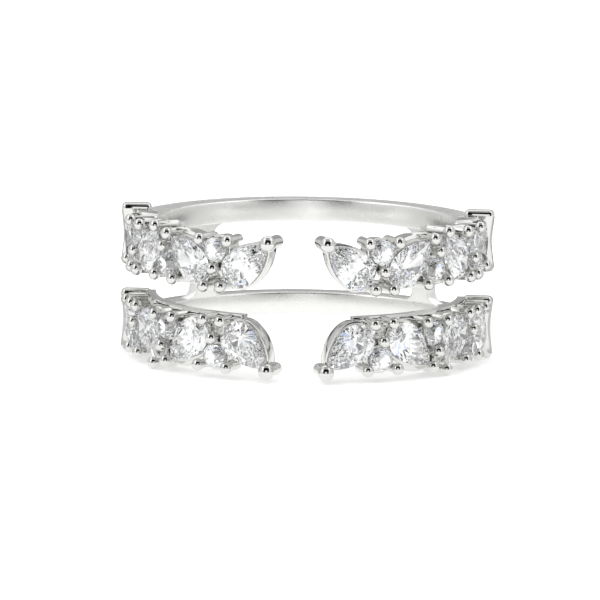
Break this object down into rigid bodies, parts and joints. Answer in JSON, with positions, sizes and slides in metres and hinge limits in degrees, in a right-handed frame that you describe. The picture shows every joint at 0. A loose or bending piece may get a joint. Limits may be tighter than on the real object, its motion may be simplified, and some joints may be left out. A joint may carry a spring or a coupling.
{
  "type": "ring guard enhancer",
  "caption": "Open-front double-band ring jacket with fanned rows of claw-set pear and round stones, worn around another ring.",
  "frame": {"origin": "centre of the finger hole, midway between the two bands", "axes": "+Z along the finger, -Y towards the open front between the rows of stones, +X to the right of the front"},
  "size_m": [0.0214, 0.0207, 0.0086],
  "materials": {
    "white_gold": "rhodium-plated white gold, high polish",
    "diamond": "colourless cut stone, polished facets"
  },
  "bodies": {
    "root": {"ring_frame": "white_gold", "pear_front_top_right": "diamond", "round_front_top_right": "diamond", "pear_inner_top_right": "diamond", "round_middle_top_right": "diamond", "pear_outer_top_right": "diamond", "round_side_top_right": "diamond", "pear_side_top_right": "diamond", "pear_front_top_left": "diamond", "round_front_top_left": "diamond", "pear_inner_top_left": "diamond", "round_middle_top_left": "diamond", "pear_outer_top_left": "diamond", "round_side_top_left": "diamond", "pear_side_top_left": "diamond", "pear_front_bottom_right": "diamond", "round_front_bottom_right": "diamond", "pear_inner_bottom_right": "diamond", "round_middle_bottom_right": "diamond", "pear_outer_bottom_right": "diamond", "round_side_bottom_right": "diamond", "pear_side_bottom_right": "diamond", "pear_front_bottom_left": "diamond", "round_front_bottom_left": "diamond", "pear_inner_bottom_left": "diamond", "round_middle_bottom_left": "diamond", "pear_outer_bottom_left": "diamond", "round_side_bottom_left": "diamond", "pear_side_bottom_left": "diamond"}
  },
  "joints": []
}
